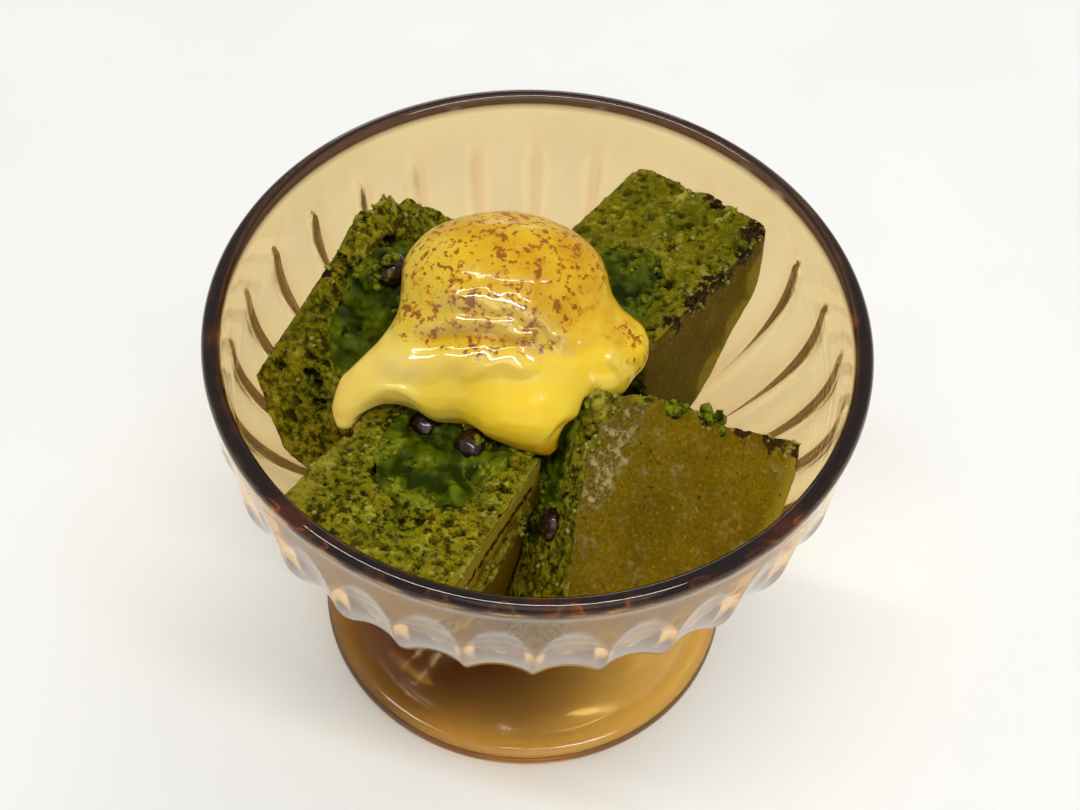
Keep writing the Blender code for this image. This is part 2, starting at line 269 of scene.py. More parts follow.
class PasteSettings(PropertyGroup):
    grain: length("Finest modelled grain", 0.28)
    swell: length("How far the paste pushes into the crumb", 0.45)
    lump_rise: length("Height of the lumps", 2.4)
    paste: paint("Bean paste", 80, 90, 2)
    # clear is painted light: raised lumps are painted a lighter, clearer green. deep is the colour
    # of painted shade in hollows and is also used for darker mottling.
    clear: paint("Clear green places of the paste", 104, 126, 14)
    deep: paint("Paste in its crevices", 32, 42, 2)
    light: paint("Crumbly paste", 122, 126, 20)
    pale: paint("Pale grains of the paste", 164, 164, 78)


class BeanSettings(PropertyGroup):
    skin: paint("Skin", 36, 13, 9)
    bloom: paint("Dry bloom on the skin", 92, 66, 48)


class CrumbSettings(PropertyGroup):
    crumbs: number_of("Loose crumbs on a quarter", 80)
    lumps: number_of("Loose bits of paste on a filling", 60)
    smallest: length("Smallest radius", 0.16)
    largest: length("Largest radius", 0.62)


class CustardSettings(PropertyGroup):
    grain: length("Finest modelled detail", 0.27)
    cream: paint("Custard", 236, 202, 46)
    pale: paint("Paler custard at the left", 232, 204, 96)
    gold: paint("Torched gold", 203, 146, 0)
    toast: paint("Toasted spots", 190, 120, 2)
    speck: paint("Burnt specks", 142, 86, 0)


class StageSettings(PropertyGroup):
    table: paint("Table top", 240, 240, 237)
    lens: amount("Focal length in mm", 65.23)


# ---- modelling helpers


def edit_mode():
    bpy.ops.object.mode_set(mode="EDIT")


def object_mode():
    bpy.ops.object.mode_set(mode="OBJECT")


def select_only(obj):
    bpy.ops.object.select_all(action="DESELECT")
    obj.select_set(True)
    bpy.context.view_layer.objects.active = obj


def apply_modifier(obj, kind, **values):
    select_only(obj)
    modifier = obj.modifiers.new(kind.title(), kind)
    for key, value in values.items():
        setattr(modifier, key, value)
    bpy.ops.object.modifier_apply(modifier=modifier.name)


def shade_smooth(obj):
    select_only(obj)
    bpy.ops.object.shade_smooth()


def soften(obj, rounds):
    apply_modifier(obj, "SMOOTH", iterations=rounds)


def object_of(name, data):
    """A new object in the scene, the only one selected."""
    obj = bpy.data.objects.new(name, data)
    bpy.context.scene.collection.objects.link(obj)
    select_only(obj)
    return obj


def copy_of_node(node, name):
    """A welded copy of a CAD node's mesh, to be given its finish."""
    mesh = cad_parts[node].data.copy()
    mesh.name = name
    obj = object_of(name, mesh)
    if mesh.has_custom_normals:
        bpy.ops.mesh.customdata_custom_splitnormals_clear()
    edit_mode()
    bpy.ops.mesh.select_all(action="SELECT")
    bpy.ops.mesh.remove_doubles(threshold=0.00001)
    object_mode()
    return obj


def refined_copy(node, name, grain, rounds=2):
    """A copy of a node's mesh, made even and fine, with its corners taken off."""
    obj = copy_of_node(node, name)
    apply_modifier(obj, "REMESH", mode="VOXEL", voxel_size=grain, use_smooth_shade=True)
    soften(obj, rounds)
    return obj


def read_numbers(items, key, width):
    values = np.empty(len(items) * width, np.float32)
    items.foreach_get(key, values)
    return values.reshape(-1, width).astype(float)


def points_of(obj):
    return read_numbers(obj.data.vertices, "co", 3)


def normals_of(obj):
    return read_numbers(obj.data.vertex_normals, "vector", 3)


def store(obj, **masks):
    """Keeps one number a point, or one for all points, for the material to read."""
    for name, values in masks.items():
        attributes = obj.data.attributes
        attribute = attributes.get(name) or attributes.new(name, "FLOAT", "POINT")
        values = np.broadcast_to(np.asarray(values, np.float32), len(obj.data.vertices))
        attribute.data.foreach_set("value", np.ascontiguousarray(values))


def weigh(obj, name, values, levels=12):
    """A vertex group from one number a point, in even steps."""
    group = obj.vertex_groups.new(name=name)
    steps = np.rint(np.clip(values, 0, 1) * levels).astype(int)
    for level in range(1, levels + 1):
        chosen = np.nonzero(steps == level)[0].tolist()
        if chosen:
            group.add(chosen, level / levels, "REPLACE")
    return name


def relief(obj, size, strength, detail, group="", middle=0.5, ramp=(), hard=False):
    """Moves the surface in and out by a cloudy solid pattern of that size."""
    pattern = bpy.data.textures.new("pattern", "CLOUDS")
    pattern.noise_scale = size
    pattern.noise_depth = detail
    pattern.noise_type = "HARD_NOISE" if hard else "SOFT_NOISE"
    if ramp:
        pattern.use_color_ramp = True
        for stop, (place, level) in zip(pattern.color_ramp.elements, ramp):
            stop.position = place
            stop.color = (level, level, level, 1)
    apply_modifier(
        obj, "DISPLACE", texture=pattern, texture_coords="LOCAL", strength=strength,
        mid_level=middle, vertex_group=group,
    )
    bpy.data.textures.remove(pattern)


def waves(points, size, seed, count=9):
    """A smooth unevenness of crossing waves, mostly from -1 to 1, of about that size."""
    rng = np.random.default_rng(seed)
    turns = rng.normal(size=(count, 3))
    turns *= (math.tau / size) * rng.uniform(0.7, 1.4, (count, 1)) / np.linalg.norm(
        turns, axis=1, keepdims=True
    )
    crossing = np.sin(points @ turns.T + rng.uniform(0, math.tau, count))
    return crossing.sum(axis=1) / math.sqrt(count)


def moved_by(matrix, points):
    matrix = np.array(matrix)
    return points @ matrix[:3, :3].T + matrix[:3, 3]


def draw_out(obj, pulls, matrix=Matrix()):
    """Pulls places of a piece by a soft falloff; they are given in mm in the matrix's frame."""
    select_only(obj)
    mesh = obj.data
    bpy.context.tool_settings.mesh_select_mode = (True, False, False)
    for centre, radius, offset, reach in pulls:
        local = moved_by(matrix.inverted(), points_of(obj)) / MM
        chosen = np.linalg.norm(local - np.array(centre), axis=1) < radius
        if not chosen.any():
            continue
        for items in (mesh.polygons, mesh.edges):
            items.foreach_set("select", np.zeros(len(items), bool))
        mesh.vertices.foreach_set("select", chosen)
        edit_mode()
        bpy.ops.transform.translate(
            value=matrix.to_3x3() @ (Vector(offset) * MM), use_proportional_edit=True,
            proportional_edit_falloff="SMOOTH", proportional_size=reach * MM,
        )
        object_mode()


def ease(low, high, values):
    """From 0 at low to 1 at high, levelling off at both."""
    t = np.clip((values - low) / (high - low), 0, 1)
    return t * t * (3 - 2 * t)


def finish_piece(obj, material, slot, *nodes):
    """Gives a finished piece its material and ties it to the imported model."""
    obj.data.materials.clear()
    obj.data.materials.append(material)
    obj.vertex_groups.clear()
    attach(obj, BODY)
    if nodes:
        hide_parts(*nodes)


# ---- node helpers


class Graph:
    """Adds nodes to a tree, from sockets or plain values to sockets."""

    def __init__(self, tree, coords=None):
        self.tree = tree
        self.coords = coords or self.node("TexCoord").outputs["Object"]

    def feed(self, socket, value):
        if isinstance(value, bpy.types.NodeSocket):
            self.tree.links.new(value, socket)
        elif socket.type == "RGBA":
            socket.default_value = (*value, 1)
        else:
            socket.default_value = value

    def node(self, kind, inputs=(), **settings):
        made = self.tree.nodes.new("ShaderNode" + kind)
        for key, value in settings.items():
            setattr(made, key, value)
        for key, value in dict(inputs).items():
            self.feed(made.inputs[key], value)
        return made

    def calc(self, operation, total, *values):
        for value in values:
            total = self.node("Math", {0: total, 1: value}, operation=operation).outputs[0]
        return total

    def times(self, *values):
        return self.calc("MULTIPLY", *values)

    def plus(self, *values):
        return self.calc("ADD", *values)

    def most(self, *values):
        return self.calc("MAXIMUM", *values)

    def span(self, value, low, high, to_low=0, to_high=1):
        """Maps low..high onto to_low..to_high, eased and clamped."""
        inputs = {
            "Value": value, "From Min": low, "From Max": high, "To Min": to_low, "To Max": to_high,
        }
        made = self.node("MapRange", inputs, interpolation_type="SMOOTHSTEP")
        return made.outputs["Result"]

    def blend(self, factor, first, second, how="MIX"):
        """Mixes two colours."""
        inputs = {0: factor, 6: first, 7: second}
        return self.node("Mix", inputs, data_type="RGBA", blend_type=how).outputs[2]

    def layers(self, colour, *layers):
        """Lays colours over one another, each given with its mask and how strong it is."""
        for over, mask, *strength in layers:
            if strength:
                mask = self.times(mask, *strength)
            colour = self.blend(mask, colour, over)
        return colour

    def grain(self, scale, detail=4, roughness=0.55, stretch=None):
        coords = self.coords
        if stretch:
            inputs = {"Vector": coords, "Scale": stretch}
            coords = self.node("Mapping", inputs).outputs[0]
        inputs = {"Vector": coords, "Scale": scale, "Detail": detail, "Roughness": roughness}
        return self.node("TexNoise", inputs).outputs["Fac"]

    def reading(self, *names):
        """The numbers that store() kept under these names."""
        found = [self.node("Attribute", attribute_name=name).outputs["Fac"] for name in names]
        return found if len(found) > 1 else found[0]

    def bump(self, height, strength, distance):
        inputs = {"Strength": strength, "Distance": distance, "Height": height}
        return self.node("Bump", inputs).outputs["Normal"]

    def place(self, name, **inputs):
        """Places a node group, made when first asked for; gives all its outputs."""
        group = bpy.data.node_groups.get(name) or GROUPS[name](name)
        inputs = {"Vector": self.coords, **inputs}
        return self.node("Group", node_tree=group, inputs=inputs).outputs

    def drive(self, **values):
        """Sets or links inputs of the material's shader; gives what it puts out."""
        shader = self.tree.nodes["Principled BSDF"]
        for key, value in values.items():
            self.feed(shader.inputs[key.replace("_", " ")], value)
        return shader.outputs[0]


def new_material(name, viewport, **constants):
    material = bpy.data.materials.new(name)
    material.use_nodes = True
    material.diffuse_color = (*viewport, 1)
    graph = Graph(material.node_tree)
    graph.drive(**constants)
    return material, graph


def new_group(name, inputs, outputs):
    """An empty node group; the inputs besides its vector, and the outputs, are floats."""
    group = bpy.data.node_groups.new(name, "ShaderNodeTree")
    group.interface.new_socket("Vector", in_out="INPUT", socket_type="NodeSocketVector")
    for label, value in inputs.items():
        socket = group.interface.new_socket(label, in_out="INPUT", socket_type="NodeSocketFloat")
        socket.default_value = value
    for label in outputs:
        group.interface.new_socket(label, in_out="OUTPUT", socket_type="NodeSocketFloat")
    entry = group.nodes.new("NodeGroupInput").outputs
    return Graph(group, entry["Vector"]), entry, group.nodes.new("NodeGroupOutput").inputs


def crumb_group(name):
    """Broken crumb: a fine uneven grain with masks for ragged pores and for tips; the sponge
    paints shade into the pores and highlights on the tips.
    """
    g, entry, leave = new_group(name, {"Scale": 600}, ("Shade", "Pores", "Tips", "Height"))
    scale = entry["Scale"]
    shade = g.grain(scale, 7, 0.68)
    fine = g.grain(g.times(scale, 3.4), 3, 0.6)
    patches = g.grain(g.times(scale, 0.23), 2, 0.5)
    pores = g.span(g.plus(shade, g.times(patches, 0.35)), 0.6, 0.52)
    height = g.plus(shade, g.times(fine, 0.5))
    g.feed(leave["Shade"], shade)
    g.feed(leave["Pores"], pores)
    g.feed(leave["Tips"], g.times(g.span(fine, 0.6, 0.72), g.span(shade, 0.46, 0.6)))
    g.feed(leave["Height"], g.calc("SUBTRACT", height, g.times(pores, 0.35)))
    return g.tree


def fleck_group(name):
    """Ragged flecks in loose clusters, as heat or fine speckle leaves them."""
    g, entry, leave = new_group(name, {"Scale": 700, "Amount": 0.5}, ("Mask", "Halo"))
    scale = entry["Scale"]
    clusters = g.grain(g.times(scale, 0.3), 2, 0.5)
    amount = g.times(entry["Amount"], 0.2)
    level = g.plus(g.grain(scale, 3, 0.62), g.times(clusters, 0.32), amount)
    g.feed(leave["Mask"], g.span(level, 0.83, 0.88))
    g.feed(leave["Halo"], g.span(level, 0.78, 0.84))
    return g.tree


GROUPS = {"Broken crumb": crumb_group, "Ragged flecks": fleck_group}


# ---- bowl


def wall(radius, depth, steps, start, end):
    """Points down a half-ellipse wall, from start to end degrees, as (radius, height)."""
    turns = [math.radians(start + (end - start) * step / steps) for step in range(steps + 1)]
    return [(radius * math.cos(turn), WALL_TOP - depth * math.sin(turn)) for turn in turns]


def bowl_profile():
    """The bowl's section from the middle of its inside, over the rim, to under the foot."""
    inner = wall(INNER_RADIUS, INNER_DEPTH, 34, 89.3, 0)
    outer = wall(OUTER_RADIUS, OUTER_DEPTH, 52, 0, 71)
    return [*inner, *LIP, *outer, *STEM]


def turned(name, profile, columns, start):
    """Extrudes a circle ring by ring down a profile, and closes both ends."""
    radius, height = profile[0]
    bpy.ops.mesh.primitive_circle_add(
        vertices=columns, radius=radius * MM, location=(0, 0, height * MM), rotation=(0, 0, start)
    )
    obj = bpy.context.object
    obj.name = name
    bpy.ops.object.transform_apply()
    edit_mode()
    bpy.ops.mesh.select_all(action="SELECT")
    for wide, high in profile[1:]:
        rise = {"value": (0, 0, (high - height) * MM)}
        bpy.ops.mesh.extrude_region_move(TRANSFORM_OT_translate=rise)
        size = wide / radius
        bpy.ops.transform.resize(value=(size, size, 1), center_override=(0, 0, 0))
        radius, height = wide, high
    bpy.ops.mesh.select_non_manifold(extend=False)
    bpy.ops.mesh.fill_holes(sides=0)
    bpy.ops.mesh.select_all(action="SELECT")
    bpy.ops.mesh.normals_make_consistent(inside=False)
    object_mode()
    return obj


def round_bowl(obj, scoops):
    """Points in mm, how deep in a scoop's breadth and in the scoop, and how far outside."""
    points = points_of(obj) / MM
    x, y, z = points.T
    drop = np.clip((WALL_TOP - z) / INNER_DEPTH, 0, 1)
    outside = np.hypot(x, y) - INNER_RADIUS * np.sqrt(1 - drop * drop)
    turn = np.arctan2(x, -y) - SCOOP_START
    across = 1 - (2 * np.mod(turn * scoops / math.tau, 1) - 1) ** 2
    rise = np.maximum((z - (SCOOP_TOP - SCOOP_ARCH)) / SCOOP_ARCH, 0)
    return points, across, across - rise * rise, outside


def press_scoops(obj, depth, scoops):
    """Presses the scoops in the outer wall: no edit-mode operator gives their arched tops."""
    points, _, hollow, outside = round_bowl(obj, scoops)
    radius, z = np.hypot(points[:, 0], points[:, 1]), points[:, 2]
    fade = np.clip((z - SCOOP_BOTTOM) / SCOOP_FADE, 0, 1)
    pressed = np.maximum(hollow, 0) * fade * (3 - 2 * fade) * fade**0.2 * (depth / MM)
    pressed *= (z <= SCOOP_TOP) & (radius >= 8) & (outside >= 0.6)
    points[:, :2] *= 1 - (pressed / radius)[:, None]
    obj.data.vertices.foreach_set("co", (points * MM).ravel())


def read_bowl(obj, scoops):
    """Marks the outside of the wall, the thick lip and the foot for the glass to read, and where
    it paints light on the ridges and shade on the front and on the foot.
    """
    points, across, hollow, outside = round_bowl(obj, scoops)
    x, y, z = points.T
    outside = (outside > 0.9) * ease(29, 34, z) * (z < 81)
    # The shadow of the bowl on the foot is painted, darkest about a point left of and in front of
    # the stem.
    from_core = np.hypot(x + 13, y + 7) + 2 * waves(points, 30, 4)
    store(
        obj,
        lustre=outside * (0.1 + 0.9 * ease(0, 0.17, hollow)),
        # where peach light is painted on the ridges; the glass is also rougher there
        ridge=outside * ease(0.55, 0.12, across) * ease(SCOOP_TOP, SCOOP_TOP - SCOOP_ARCH, z),
        # where the lip is painted dark, with painted amber light in it
        lip=ease(LIP_FROM, LIP_TO, z + 0.3 * waves(points, 9, 3)),
        foot=ease(36, 30, z),
        # painted shade on the front of the outer wall
        stain=0.85 * outside * ease(-18, -36, y),
        # painted shadow of the bowl on the foot
        core=ease(38, 13, from_core),
    )


def amber_glass(look):
    """Lustred amber glass: part of the tint is in its depth, and a lustre lies on the outside."""
    material, g = new_material(
        "amber_glass", look.tint, Roughness=0.02, IOR=1.5, Transmission_Weight=0.94,
        Specular_IOR_Level=0.14, Coat_IOR=2.1, Coat_Roughness=0.09,
    )
    is_lip, is_foot, is_ridge = g.reading("lip", "foot", "ridge")
    rough = g.span(g.grain(160, 4, 0.6), 0.45, 0.8, 0.005, 0.05)
    rough = g.plus(rough, g.times(is_foot, 0.09), g.times(is_ridge, 0.2))
    duller = tuple(0.94 * v for v in look.wall)
    streak = g.span(g.grain(45, 3, 0.6, stretch=(1, 1, 0.3)), 0.56, 0.68)
    colour = g.layers(
        g.blend(g.span(g.grain(55, 3, 0.5), 0.35, 0.65), look.wall, duller),
        # painted light: peach streaks on the ridges
        (look.ridge, is_ridge, 0.9),
        # painted shade on the front of the wall
        (look.stain, g.reading("stain")),
        # painted shadow of the bowl on the foot
        (g.blend(g.reading("core"), look.foot_edge, look.foot), is_foot),
        # painted shade of the dark lip, with streaks of painted amber light
        (g.blend(streak, look.lip, look.lip_glow), is_lip),
    )
    seen = g.drive(
        Base_Color=colour, Roughness=rough,
        Coat_Weight=g.times(g.reading("lustre"), look.lustre),
        Normal=g.bump(g.grain(90, 2, 0.4), 0.08, 0.0008),
    )
    clear = g.node("BsdfTransparent", {"Color": look.shade}).outputs[0]
    shadow_ray = g.node("LightPath").outputs["Is Shadow Ray"]
    tint = {"Color": look.tint, "Density": look.density}
    out = g.tree.nodes["Material Output"].inputs
    g.feed(out["Surface"], g.node("MixShader", {0: shadow_ray, 1: seen, 2: clear}).outputs[0])
    g.feed(out["Volume"], g.node("VolumeAbsorption", tint).outputs[0])
    return material


class DESSERT_OT_bowl(Operator):
    """Build the footed glass bowl with its pressed scoops"""

    bl_idname = "dessert.bowl"
    bl_label = "Glass bowl"
    bl_options = UNDO

    def execute(self, context):
        look = context.scene.dessert_bowl
        columns = look.scoops * COLUMNS_PER_SCOOP
        obj = turned("footed_bowl", bowl_profile(), columns, math.radians(0.125))
        press_scoops(obj, look.scoop_depth, look.scoops)
        read_bowl(obj, look.scoops)
        shade_smooth(obj)
        finish_piece(obj, amber_glass(look), "amber_glass", "bowl")
        return {"FINISHED"}


# ---- cake quarters


def quarter_matrix(name):
    centre, first, second = QUARTERS[name][:3]
    x_axis = Vector(first).normalized()
    y_axis = Vector(second)
    y_axis = (y_axis - x_axis * y_axis.dot(x_axis)).normalized()
    turn = Matrix((x_axis, y_axis, x_axis.cross(y_axis))).transposed().to_4x4()
    return Matrix.Translation(Vector(centre) * MM) @ turn


def in_quarter(name, points):
    """World points in metres to millimetres in the quarter's own frame."""
    return moved_by(quarter_matrix(name).inverted(), points) / MM


def spots(local, places, name):
    """How deep each point lies in a quarter's round places, from 0 at the edge to 1."""
    found = np.zeros(len(local))
    for *centre, radius in places.get(name, ()):
        distance = np.linalg.norm(local - np.array(centre), axis=1)
        found = np.maximum(found, 1 - distance / radius)
    return np.clip(found, 0, 1)


def read_quarter(obj, name):
    """Where each point of a quarter lies: on a cut face, under the skin, browned or torn."""
    radius, radius_2, thickness, lens, lens_depth = QUARTERS[name][3:]
    points = points_of(obj)
    local = in_quarter(name, points)
    facing = normals_of(obj) @ np.array(quarter_matrix(name))[:3, :3]
    x, y, z = local.T
    first_cut = ease(0.45, 0.85, -facing[:, 1]) * (y < 3)
    second_cut = ease(0.45, 0.85, -facing[:, 0]) * (x < 3)
    reach = np.hypot(x, y * radius / radius_2)
    pocket = np.clip(reach / (lens + 2), 0, 9) ** 2.6 + (2 * z / (lens_depth + 4)) ** 2
    cut = np.maximum(np.maximum(first_cut, second_cut), pocket < 1)
    uneven = waves(points / MM, 5, 11) + 0.6 * waves(points / MM, 2, 12)
    torn = spots(local, TORN, name)
    torn = ease(0.22, 0.42, torn + 0.12 * uneven * (torn > 0))
    under_skin = np.minimum(thickness / 2 - np.abs(z), radius - reach)
    scorch = spots(local, SCORCHED, name)
    return {
        "crumb": np.maximum(cut, torn),
        "rounding": ease(radius - 4.4, radius - 1.2, reach) * (1 - cut),
        "rind": ease(1.5, 0.3, under_skin + 0.3 * uneven),
        "torn": torn,
        "scorch": np.clip(scorch + 0.16 * uneven * (scorch > 0.05), 0, 1),
        # pale places of the crust; on front_left painted light on the lit strip
        "pale": ease(0.1, 0.45, spots(local, PALE_AND_LIT, name) + 0.06 * uneven),
        "peel": ease(0, 0.5, spots(local, PEELED, name) + 0.12 * uneven),
        "shade": SHADED.get(name, 0),
    }


class DESSERT_OT_cakes(Operator):
    """Build the four cake quarters, with crumb on the cut faces and crust elsewhere"""

    bl_idname = "dessert.cakes"
    bl_label = "Cake quarters"
    bl_options = UNDO

    def execute(self, context):
        look = context.scene.dessert_cake
        material = sponge_material(look)
        rise, pores = look.crumb_rise, look.pore_depth
        for name in QUARTERS:
            grain = look.grain * COARSER.get(name, 1)
            obj = refined_copy("cake_" + name, "quarter_" + name, grain)
            masks = read_quarter(obj, name)
            draw_out(obj, PULLED.get(name, ()), quarter_matrix(name))
            before, normals = points_of(obj), normals_of(obj)
            patchy = ease(-1.2, 1.2, waves(before / MM, 7, 21))
            open_crumb = weigh(obj, "open_crumb", np.maximum(masks["crumb"], masks["peel"] * 0.5))
            porous = weigh(obj, "porous", masks["crumb"] * (0.45 + 0.55 * patchy))
            torn = weigh(obj, "ripped", masks["torn"])
            skin = weigh(obj, "skin", 1 - masks["crumb"])
            relief(obj, 6 * MM, 0.6 * rise, 1, open_crumb)
            relief(obj, 1.4 * MM, 0.75 * rise, 2, open_crumb)
            relief(obj, 2.3 * MM, pores, 2, porous, 1, ((0.32, 0), (0.42, 1)))
            relief(obj, 4.6 * MM, 1.5 * pores, 3, porous, 1, ((0.24, 0), (0.31, 1)))
            relief(obj, 3.6 * MM, 2.6 * MM, 3, torn)
            relief(obj, 9 * MM, 0.5 * MM, 1, skin)
            relief(obj, 0.8 * MM, 0.12 * MM, 0, skin)
            # How far each point moved out or in; the sponge paints light on raised crumb and shade
            # in hollows from it.
            moved = ((points_of(obj) - before) * normals).sum(axis=1) / MM
            store(obj, relief=moved, **masks)
            finish_piece(obj, material, "green_tea_sponge", "cake_" + name)
        return {"FINISHED"}


def sponge_material(look):
    material, g = new_material(
        "green_tea_sponge", look.crust, Specular_IOR_Level=0.08, Coat_Roughness=0.2
    )
    crumb, rounding, scorch, peel = g.reading("crumb", "rounding", "scorch", "peel")
    depth, rind, pale_and_lit_edge, shaded = g.reading("relief", "rind", "pale", "shade")
    broken = g.place("Broken crumb", Scale=780)
    tips, pores = broken["Tips"], broken["Pores"]
    # Crumb of the cut faces, with painted shade in its pores and the hollows of the relief, and
    # painted light on raised crumb and the tips.
    broad = g.grain(95, 3, 0.55)
    shade = g.most(g.span(broken["Shade"], 0.39, 0.59, 0.1, 1), g.times(shaded, 0.85))
    base = g.blend(g.span(broad, 0.36, 0.66), look.crumb, look.green)
    inside = g.layers(
        g.blend(shade, look.deep, base),
        # painted light on raised crumb and painted highlights on the tips
        (look.light, g.span(depth, 0, 0.55), 0.6),
        (look.light, tips, 0.85),
        # painted shade in the pores and in the hollows of the relief
        (look.deep, pores, 0.75),
        (look.deep, g.span(depth, -0.35, -1.3)),
        (look.side, rind, 0.55),
    )
    # Griddled crust, pale on the rounded side.
    fine = g.grain(1500, 3, 0.65)
    flaked = g.times(peel, g.span(g.grain(520, 5, 0.65), 0.42, 0.6))
    skin = g.layers(
        g.blend(g.span(broad, 0.35, 0.7, 0, 0.6), look.crust, look.crust_dark),
        (look.crust_dark, g.span(fine, 0.5, 0.72, 0, 0.8)),
        (look.side, g.span(fine, 0.44, 0.3, 0, 0.5)),
        (look.side, rounding, 0.8),
        # pale places, on front_left painted light on the lit strip
        (look.side, pale_and_lit_edge, 0.9),
        (look.scorch, g.place("Ragged flecks", Scale=900, Amount=0.05)["Mask"], 0.8),
        (look.peeled, flaked, 0.7),
    )
    # Browned edges, with pale flakes left between the burnt places.
    char = g.grain(800, 5, 0.7)
    colour = g.layers(
        g.blend(crumb, skin, inside),
        (look.scorch, g.span(g.plus(g.times(scorch, 0.55), char), 0.7, 0.8)),
        (look.peeled, g.times(g.span(scorch, 0.1, 0.4), g.span(char, 0.44, 0.38)), 0.7),
    )
    colour = g.blend(shaded, colour, (0.7, 0.72, 0.5), "MULTIPLY")
    height = g.times(broken["Height"], g.span(crumb, 0, 1, 0.1, 1))
    height = g.plus(height, g.times(fine, 0.16), g.times(flaked, 0.6))
    g.drive(
        Base_Color=colour, Roughness=g.span(crumb, 0, 1, 0.55, 0.66),
        Coat_Weight=g.times(tips, crumb, 0.8), Normal=g.bump(height, 1, 0.0008),
    )
    return material


# ---- bean paste


class DESSERT_OT_paste(Operator):
    """Build the bean-paste filling of each quarter, smooth inside and crumbly at its edge"""

    bl_idname = "dessert.paste"
    bl_label = "Bean-paste filling"
    bl_options = UNDO

    def execute(self, context):
        look = context.scene.dessert_paste
        material = paste_material(look)
        rise = look.lump_rise
        for name in QUARTERS:
            radius, radius_2, _, lens, lens_depth = QUARTERS[name][3:]
            obj = refined_copy("filling_" + name, "paste_" + name, look.grain)
            before, normals = points_of(obj), normals_of(obj)
            x, y, z = in_quarter(name, before).T
            edge = (np.hypot(x, y * radius / radius_2) / lens) ** 2
            edge = edge + (2 * z / lens_depth) ** 2
            uneven = waves(before / MM, 6.5, 31) + 0.6 * waves(before / MM, 2.6, 32)
            crumbly = ease(0.35, 1.05, edge + 0.42 * uneven - CRUMBLY_FROM[name])
            crumbs = weigh(obj, "crumbs", crumbly)
            smooth = weigh(obj, "smooth", 1 - 0.7 * crumbly)
            apply_modifier(obj, "DISPLACE", strength=look.swell, mid_level=0)
            relief(obj, 6.5 * MM, rise, 1)
            relief(obj, 4.6 * MM, 0.9 * rise, 1, smooth, 0.35, hard=True)
            relief(obj, 2.6 * MM, 0.8 * rise, 2, crumbs, 0.4, hard=True)
            relief(obj, 1.1 * MM, 0.8 * MM, 2, crumbs)
            # How far each point moved out or in; the paste's material paints light on raised lumps
            # and shade in hollows from it.
            moved = ((points_of(obj) - before) * normals).sum(axis=1) / MM
            store(obj, relief=moved, crumbly=crumbly, shade=SHADED.get(name, 0))
            finish_piece(obj, material, "bean_paste_filling", "filling_" + name)
        return {"FINISHED"}


def paste_material(look):
    material, g = new_material(
        "bean_paste", look.paste, Specular_IOR_Level=0.05, Coat_Roughness=0.12
    )
    depth, crumbly, shaded = g.reading("relief", "crumbly", "shade")
    broken = g.place("Broken crumb", Scale=560)
    tips = broken["Tips"]
    mottle = g.grain(240, 4, 0.55)
    smooth = g.blend(g.span(mottle, 0.36, 0.64), look.deep, look.paste)
    # Painted light: raised lumps turn a lighter, clearer green.
    smooth = g.layers(smooth, (look.clear, g.span(depth, 0.5, 1.5, 0, 0.6)))
    rough = g.blend(g.span(broken["Shade"], 0.36, 0.6), look.deep, look.light)
    rough = g.layers(rough, (look.pale, tips, 0.6))
    # Painted shade darkens the hollows.
    colour = g.layers(smooth, (rough, crumbly), (look.deep, g.span(depth, 0.15, -0.7)))
    colour = g.blend(shaded, colour, (0.5, 0.56, 0.4), "MULTIPLY")
    moist = g.times(g.span(mottle, 0.54, 0.62), 0.12)
    height = g.times(broken["Height"], g.span(crumbly, 0, 1, 0.25, 1))
    g.drive(
        Base_Color=colour, Roughness=g.span(crumbly, 0, 1, 0.36, 0.62),
        Coat_Weight=g.plus(moist, g.times(tips, 0.45)),
        Normal=g.bump(height, 0.9, 0.0005),
    )
    return material


# ---- beans


class DESSERT_OT_beans(Operator):
    """Build the whole beans that show in the filling"""

    bl_idname = "dessert.beans"
    bl_label = "Dark beans"
    bl_options = UNDO

    def execute(self, context):
        material = bean_material(context.scene.dessert_bean)
        for name in ("front_left", "centre", "front_right", "back_left"):
            obj = copy_of_node("bean_" + name, "dark_bean_" + name)
            apply_modifier(obj, "SUBSURF", levels=3, render_levels=3)
            relief(obj, 2.6 * MM, 0.55 * MM, 1)
            relief(obj, 0.9 * MM, 0.12 * MM, 0)
            shade_smooth(obj)
            finish_piece(obj, material, "dark_bean", "bean_" + name)
        return {"FINISHED"}


def bean_material(look):
    material, g = new_material(
        "dark_bean", look.skin, Coat_Weight=0.75, Coat_Roughness=0.1, Specular_IOR_Level=0.3
    )
    cloud = g.grain(420, 4, 0.6)
    g.drive(
        Base_Color=g.blend(g.span(cloud, 0.54, 0.72, 0, 0.6), look.skin, look.bloom),
        Roughness=g.span(cloud, 0.4, 0.7, 0.22, 0.5),
        Normal=g.bump(g.grain(900, 3, 0.6), 0.35, 0.0003),
    )
    return material


# ---- loose crumbs


def crumb_shape(seed):
    """One irregular crumb of about a unit radius, with a few dozen faces."""
    away = (seed * 7, 0, 0)
    bpy.ops.mesh.primitive_ico_sphere_add(subdivisions=2, radius=1, location=away)
    obj = bpy.context.object
    bpy.ops.object.transform_apply()
    relief(obj, 0.8, 1.5, 1)
    shape = points_of(obj) - away
    faces = np.array([tuple(face.vertices) for face in obj.data.polygons])
    bpy.data.meshes.remove(obj.data)
    return shape, faces


